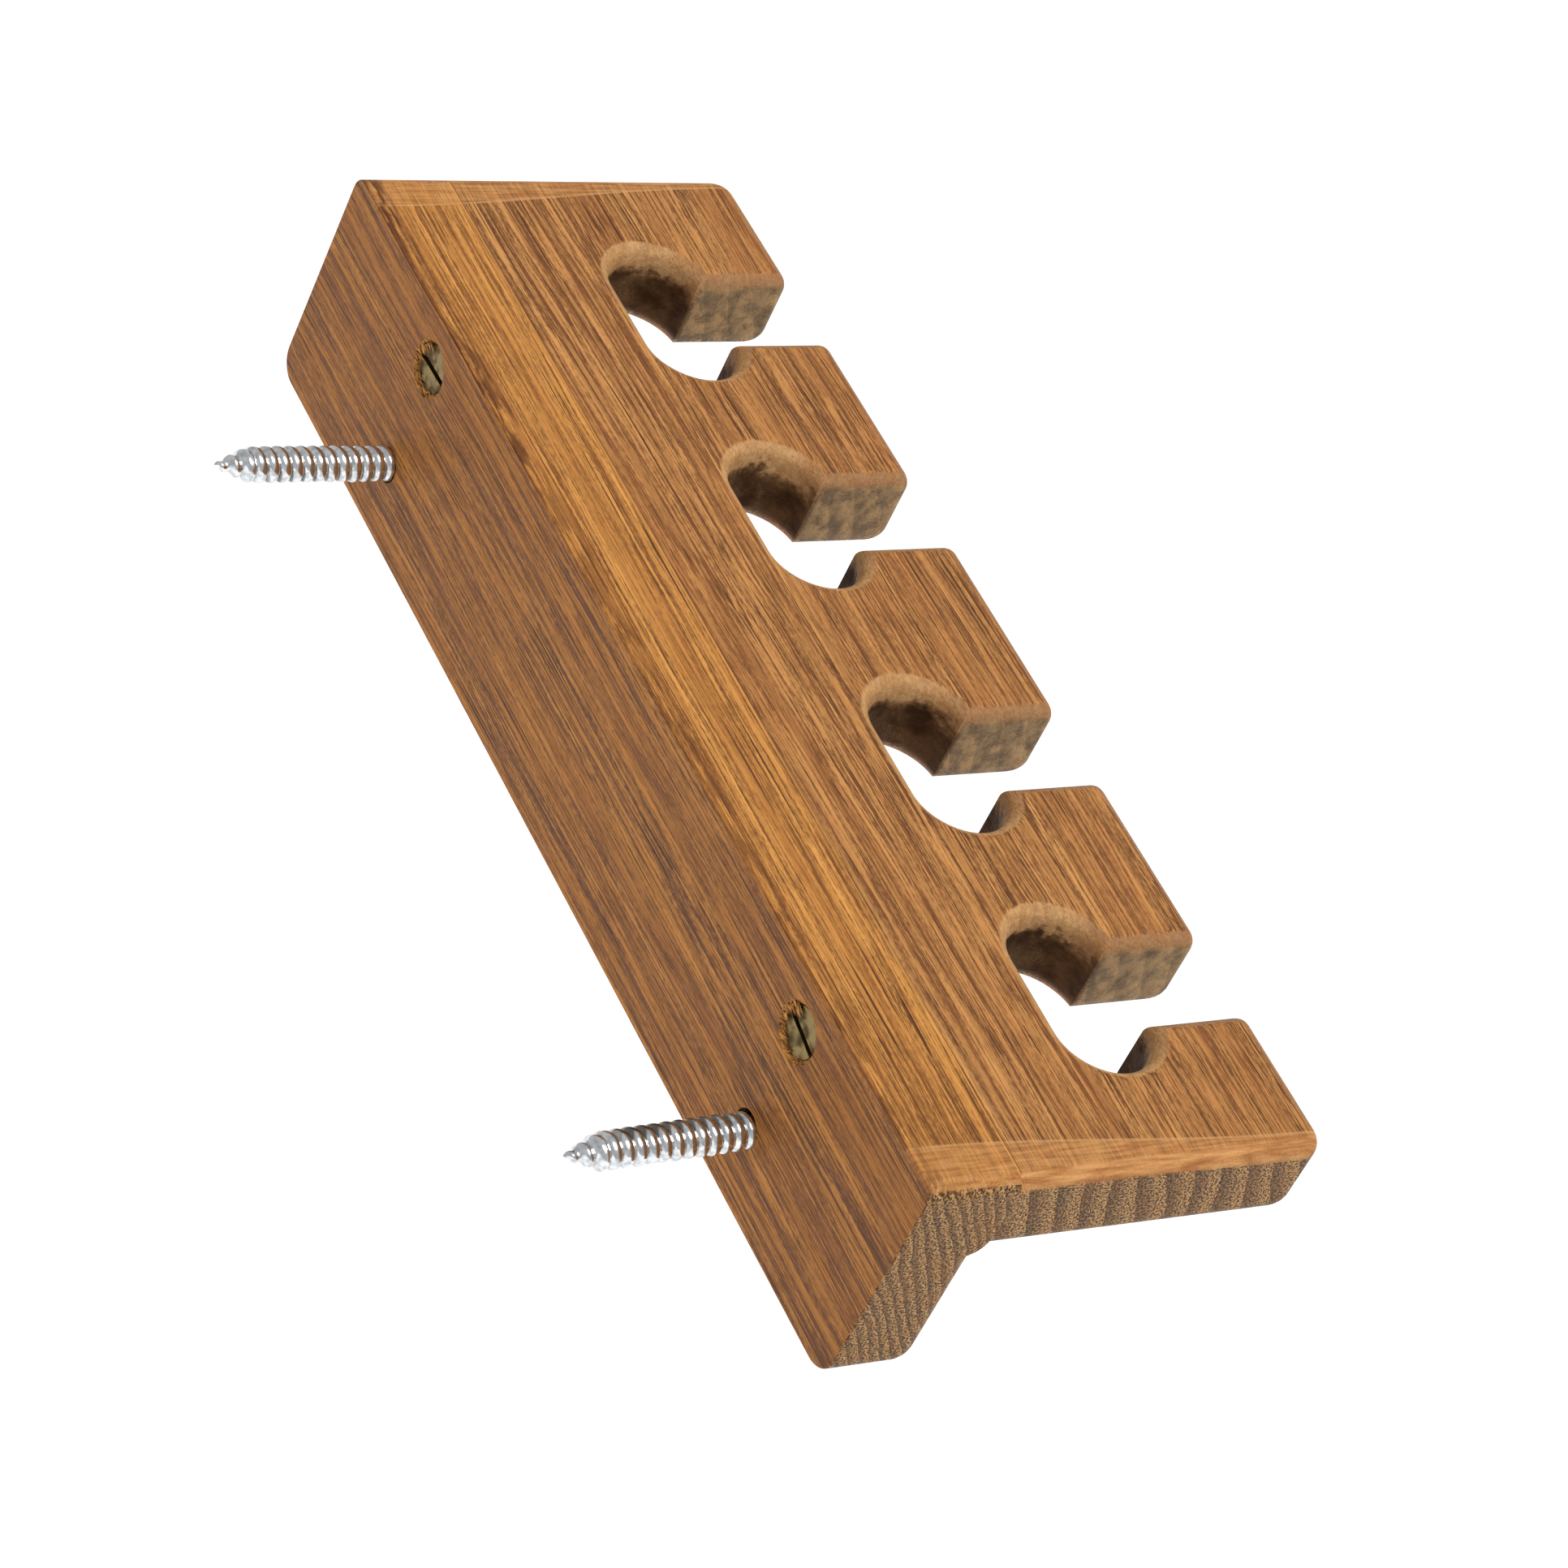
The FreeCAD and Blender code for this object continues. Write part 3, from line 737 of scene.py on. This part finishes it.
def makeThreadTree():
    tree = bpy.data.node_groups.new("screwThread", "GeometryNodeTree")
    tree.is_modifier = True
    tree.interface.new_socket("Geometry", in_out="INPUT", socket_type="NodeSocketGeometry")
    for label, default in (("Length", 0.03), ("Pitch", 0.0025), ("Crest", 0.0035), ("Root", 0.0026),
                           ("Tip", 0.007), ("Skew", 1.3), ("Fullness", 0.7), ("Batter", 0.00004)):
        socket = tree.interface.new_socket(label, in_out="INPUT", socket_type="NodeSocketFloat")
        socket.default_value = default
    for label, default in (("Around", 48), ("Along", 160)):
        socket = tree.interface.new_socket(label, in_out="INPUT", socket_type="NodeSocketInt")
        socket.default_value = default
    tree.interface.new_socket("Finish", in_out="INPUT", socket_type="NodeSocketMaterial")
    tree.interface.new_socket("Geometry", in_out="OUTPUT", socket_type="NodeSocketGeometry")
    given = tree.nodes.new("NodeGroupInput").outputs
    result = tree.nodes.new("NodeGroupOutput")

    grid = add(tree, "GeometryNodeMeshGrid", {
        "Size X": 1.0, "Size Y": 1.0, "Vertices X": given["Around"], "Vertices Y": given["Along"]})
    parts = add(tree, "ShaderNodeSeparateXYZ", {0: add(tree, "GeometryNodeInputPosition").outputs[0]})
    around = calc(tree, "ADD", parts.outputs[0], 0.5)
    along = calc(tree, "ADD", parts.outputs[1], 0.5)
    depth = calc(tree, "MULTIPLY", along, given["Length"])
    turns = calc(tree, "DIVIDE", depth, given["Pitch"])
    phase = calc(tree, "FRACT", calc(tree, "ADD", turns, around))
    leaning = calc(tree, "POWER", phase, given["Skew"])
    wave = calc(tree, "SINE", calc(tree, "MULTIPLY", leaning, math.pi))
    left = calc(tree, "SUBTRACT", given["Length"], depth)
    share = calc(tree, "DIVIDE", left, given["Tip"], clamp=True)
    narrowing = calc(tree, "MULTIPLY", calc(tree, "SUBTRACT", 1.0, share), threadShape["narrowing"])
    sharpness = calc(tree, "ADD", given["Fullness"], narrowing)
    lobe = calc(tree, "POWER", calc(tree, "MAXIMUM", wave, 0.0), sharpness)
    rootTaper = calc(tree, "POWER", share, threadShape["rootTaper"])
    crestTaper = calc(tree, "POWER", share, threadShape["crestTaper"])
    root = calc(tree, "MULTIPLY", given["Root"], rootTaper)
    flight = calc(tree, "SUBTRACT", given["Crest"], given["Root"])
    ridge = product(tree, lobe, flight, crestTaper)
    angle = calc(tree, "MULTIPLY", around, math.tau)
    cosine = calc(tree, "COSINE", angle)
    sine = calc(tree, "SINE", angle)
    spot = add(tree, "ShaderNodeCombineXYZ", {
        0: cosine, 1: sine, 2: calc(tree, "MULTIPLY", turns, threadShape["dentTurns"])}).outputs[0]
    dents = calc(tree, "SUBTRACT", noise(tree, spot, 2.0, Scale=threadShape["dentScale"]), 0.5)
    dent = product(tree, dents, lobe, given["Batter"])
    radius = calc(tree, "ADD", calc(tree, "ADD", root, ridge), dent)
    first, last = threadShape["closedEnds"]
    started = calc(tree, "GREATER_THAN", along, first)
    ended = calc(tree, "LESS_THAN", along, last)
    radius = product(tree, radius, started, ended)
    place = add(tree, "ShaderNodeCombineXYZ", {
        0: calc(tree, "MULTIPLY", radius, cosine), 1: calc(tree, "MULTIPLY", radius, sine),
        2: calc(tree, "MULTIPLY", depth, -1.0)}).outputs[0]
    moved = add(tree, "GeometryNodeSetPosition", {"Geometry": grid.outputs["Mesh"], "Position": place})
    merged = add(tree, "GeometryNodeMergeByDistance", {
        "Geometry": moved.outputs[0], "Distance": threadShape["merge"]})
    smooth = add(tree, "GeometryNodeSetShadeSmooth", {"Geometry": merged.outputs[0]})
    real = add(tree, "GeometryNodeRealizeInstances", {"Geometry": smooth.outputs[0]})
    painted = add(tree, "GeometryNodeSetMaterial", {
        "Geometry": real.outputs[0], "Material": given["Finish"]})
    tree.links.new(painted.outputs[0], result.inputs[0])
    return tree


threadTree = makeThreadTree()


def makeThread(screw, start, finish):
    thread = newObject("thread", bpy.data.meshes.new("thread"))
    modifier = thread.modifiers.new("thread", "NODES")
    modifier.node_group = threadTree
    wanted = dict(screw["thread"], Length=screw["length"] - start, Finish=finish)
    for item in threadTree.interface.items_tree:
        if item.item_type == "SOCKET" and item.in_out == "INPUT" and item.name in wanted:
            modifier[item.identifier] = wanted[item.name]
    frozen(thread)
    shape = bmesh.new()
    shape.from_mesh(thread.data)
    bmesh.ops.recalc_face_normals(shape, faces=shape.faces)
    shape.to_mesh(thread.data)
    shape.free()
    thread.data.transform(Matrix.Translation((0, 0, -start)))
    return thread


def turned(name, profile, sides):
    # a lathe: the profile's first and last points are on the axis
    shape = bmesh.new()
    rows = []
    for radius, height in profile:
        if radius == 0:
            rows.append([shape.verts.new((0, 0, height))])
            continue
        row = []
        for step in range(sides):
            angle = math.tau * step / sides
            row.append(shape.verts.new((radius * math.cos(angle), radius * math.sin(angle), height)))
        rows.append(row)
    for upper, lower in zip(rows, rows[1:]):
        for step in range(sides):
            following = (step + 1) % sides
            corners = [upper[step % len(upper)], lower[step % len(lower)],
                       lower[following % len(lower)], upper[following % len(upper)]]
            shape.faces.new(list(dict.fromkeys(corners)))
    bmesh.ops.recalc_face_normals(shape, faces=shape.faces)
    mesh = bpy.data.meshes.new(name)
    shape.to_mesh(mesh)
    shape.free()
    return newObject(name, mesh)


def boxCutter(length, width, depth, lift):
    shape = bmesh.new()
    bmesh.ops.create_cube(shape, size=1.0)
    bmesh.ops.scale(shape, vec=(length, width, depth + lift), verts=shape.verts)
    bmesh.ops.translate(shape, vec=(0, 0, (lift - depth) / 2), verts=shape.verts)
    mesh = bpy.data.meshes.new("cutter")
    shape.to_mesh(mesh)
    shape.free()
    return newObject("cutter", mesh)


easing = {"segments": 2, "cornersOver": 35, "sharpOver": 30}


def cutAway(thing, cutters, bevel):
    for cutter in cutters:
        addCut(thing, cutter)
    eased = thing.modifiers.new("eased", "BEVEL")
    eased.width = bevel
    eased.segments = easing["segments"]
    eased.limit_method = "ANGLE"
    eased.angle_limit = math.radians(easing["cornersOver"])
    frozen(thing)
    for cutter in cutters:
        bpy.data.objects.remove(cutter)
    for face in thing.data.polygons:
        face.use_smooth = True
    thing.data.set_sharp_from_angle(angle=math.radians(easing["sharpOver"]))


def joined(name, things, finish):
    # one mesh from several, with one finish
    shape = bmesh.new()
    for thing in things:
        shape.from_mesh(thing.data)
        bpy.data.objects.remove(thing)
    for face in shape.faces:
        face.material_index = 0
    mesh = bpy.data.meshes.new(name)
    shape.to_mesh(mesh)
    shape.free()
    mesh.materials.append(finish)
    return newObject(name, mesh)


def seat(thing, place, tilt, turn, lean=(0, 0)):
    # turned about its own axis, tipped to point along Y, leant a little, then moved to its place
    spin = Matrix.Rotation(math.radians(turn), 4, "Z")
    tip = Matrix.Rotation(math.radians(tilt), 4, "X")
    nod = Matrix.Rotation(math.radians(lean[0]), 4, "X") @ Matrix.Rotation(math.radians(lean[1]), 4, "Z")
    thing.data.transform(Matrix.Translation(place) @ nod @ tip @ spin)


headShape = {"rings": (0.3, 0.6, 0.85), "edge": 0.12 * mm}


def headProfile(screw):
    slope = math.tan(math.radians(screw["headAngle"] / 2))
    shank = screw["shank"] / 2
    head = screw["head"] / 2
    coneEnd = screw["land"] + (head - shank) / slope
    crown = [(head * share, screw["crown"] * (1 - share * share)) for share in headShape["rings"]]
    rim = [(head - headShape["edge"], 0.0), (head, -headShape["edge"]), (head, -screw["land"])]
    stub = [(shank, -coneEnd), (shank, -screw["shankEnd"]), (0, -screw["shankEnd"])]
    return [(0, screw["crown"]), *crown, *rim, *stub]


def headCutter(length, width, depth):
    return boxCutter(length, width, depth, 1 * mm)


jointScrew = {
    "head": 9.6 * mm, "land": 0.25 * mm, "crown": 0.0, "shank": 4.8 * mm, "headAngle": 82,
    "length": 38.1 * mm, "shankEnd": 14.5 * mm, "overlap": 0.4 * mm, "around": 64,
    "slotWidth": 1.1 * mm, "slotDepth": 1.5 * mm, "slotEdge": 0.07 * mm,
    "thread": {
        "Pitch": 2.1 * mm, "Crest": 2.4 * mm, "Root": 1.6 * mm, "Tip": 5 * mm, "Skew": 1.1,
        "Fullness": 1.8, "Batter": 0.02 * mm, "Around": 33, "Along": 150},
    "turns": {"left": 11, "right": -2},
}


def makeJointScrew(side):
    node = f"joint_screw_{side}"
    head = turned(node, headProfile(jointScrew), jointScrew["around"])
    slot = headCutter(2 * jointScrew["head"], jointScrew["slotWidth"], jointScrew["slotDepth"])
    cutAway(head, [slot], jointScrew["slotEdge"])
    thread = makeThread(jointScrew, jointScrew["shankEnd"] - jointScrew["overlap"], agedBrass)
    screw = joined(f"jointScrew.{side}", [head, thread], agedBrass)
    x, z = screwAxis(node)
    seat(screw, Vector((x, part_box(node)[1].y, z)), -90, -jointScrew["turns"][side])
    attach(screw, "root")
    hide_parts(node)


wallScrew = {
    "head": 12.0 * mm, "land": 0.4 * mm, "crown": 0.0, "shank": 6.2 * mm, "headAngle": 82,
    "length": 55.0 * mm, "threadSink": 0.3 * mm, "overlap": 0.6 * mm, "around": 64,
    "crossLength": 6.4 * mm, "crossWidth": 1.5 * mm, "crossDepth": 3.2 * mm, "crossEdge": 0.1 * mm,
    "thread": {
        "Pitch": 2.5 * mm, "Crest": 3.5 * mm, "Root": 2.65 * mm, "Tip": 7 * mm, "Skew": 1.2,
        "Fullness": 0.42, "Batter": 0.14 * mm, "Around": 65, "Along": 240},
    "turns": {"left": 20, "right": 57},
    "lean": {"left": (-0.9, 1.2), "right": (0.55, -0.55)},
}


def makeWallScrew(side):
    node = f"wall_screw_{side}"
    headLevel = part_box(node)[0].y
    threadStart = -headLevel - wallScrew["threadSink"]
    sizes = dict(wallScrew, shankEnd=threadStart + wallScrew["overlap"])
    head = turned(node, headProfile(sizes), wallScrew["around"])
    arm = wallScrew["crossLength"], wallScrew["crossWidth"]
    arms = [headCutter(*arm, wallScrew["crossDepth"]), headCutter(*arm[::-1], wallScrew["crossDepth"])]
    cutAway(head, arms, wallScrew["crossEdge"])
    thread = makeThread(wallScrew, threadStart, brightZinc)
    screw = joined(f"wallScrew.{side}", [head, thread], brightZinc)
    x, z = screwAxis(node)
    seat(screw, Vector((x, headLevel, z)), 90, wallScrew["turns"][side], wallScrew["lean"][side])
    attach(screw, "root")
    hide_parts(node)


for side in ("left", "right"):
    makeJointScrew(side)
    makeWallScrew(side)
print("screws ready")


# Studio: a pale floor well below, a soft even light, and the camera above and behind the near end.
studio = {
    "floorDrop": 0.55, "floorSize": 12.0, "floorColour": (0.95, 0.95, 0.95, 1.0), "floorRoughness": 0.9,
    "world": 0.5, "worldColour": (1.0, 1.0, 1.0, 1.0),
    "sunStrength": 2.3, "sunSpread": 35, "sunDirection": (0.4, 0.1, -1.0),
}


def makeStudio():
    floorLevel = cadBox[0][2] - studio["floorDrop"]
    half = studio["floorSize"] / 2
    mesh = bpy.data.meshes.new("floor")
    corners = [(-half, -half), (half, -half), (half, half), (-half, half)]
    mesh.from_pydata([(x, y, floorLevel) for x, y in corners], [], [(0, 1, 2, 3)])
    floor = newObject("floor", mesh)
    material, tree, shader = newMaterial("paleFloor")
    shader.inputs["Base Color"].default_value = studio["floorColour"]
    shader.inputs["Roughness"].default_value = studio["floorRoughness"]
    mesh.materials.append(material)

    world = bpy.data.worlds.new("softRoom")
    world.use_nodes = True
    background = world.node_tree.nodes["Background"]
    background.inputs["Color"].default_value = studio["worldColour"]
    background.inputs["Strength"].default_value = studio["world"]
    bpy.context.scene.world = world

    sun = bpy.data.lights.new("key", "SUN")
    sun.energy = studio["sunStrength"]
    sun.angle = math.radians(studio["sunSpread"])
    key = newObject("key", sun)
    key.rotation_euler = Vector(studio["sunDirection"]).to_track_quat("-Z", "Y").to_euler()


cameraView = {
    "aim": (0.7 * mm, -52.1 * mm, -6.1 * mm), "distance": 950 * mm,
    "azimuth": 225.5, "elevation": 38.63, "roll": 27.7,
    "lens": 116.6, "sensor": 36.0,
}


def makeCamera():
    azimuth = math.radians(cameraView["azimuth"])
    elevation = math.radians(cameraView["elevation"])
    level = math.cos(elevation)
    outward = Vector((level * math.sin(azimuth), -level * math.cos(azimuth), math.sin(elevation)))
    lens = bpy.data.cameras.new("camera")
    lens.lens = cameraView["lens"]
    lens.sensor_width = cameraView["sensor"]
    camera = newObject("camera", lens)
    camera.location = Vector(cameraView["aim"]) + outward * cameraView["distance"]
    upright = (-outward).to_track_quat("-Z", "Y").to_matrix()
    camera.rotation_euler = (upright @ Matrix.Rotation(math.radians(cameraView["roll"]), 3, "Z")).to_euler()
    bpy.context.scene.camera = camera


makeStudio()
makeCamera()
bpy.context.scene.view_settings.view_transform = "Standard"
print("studio ready")
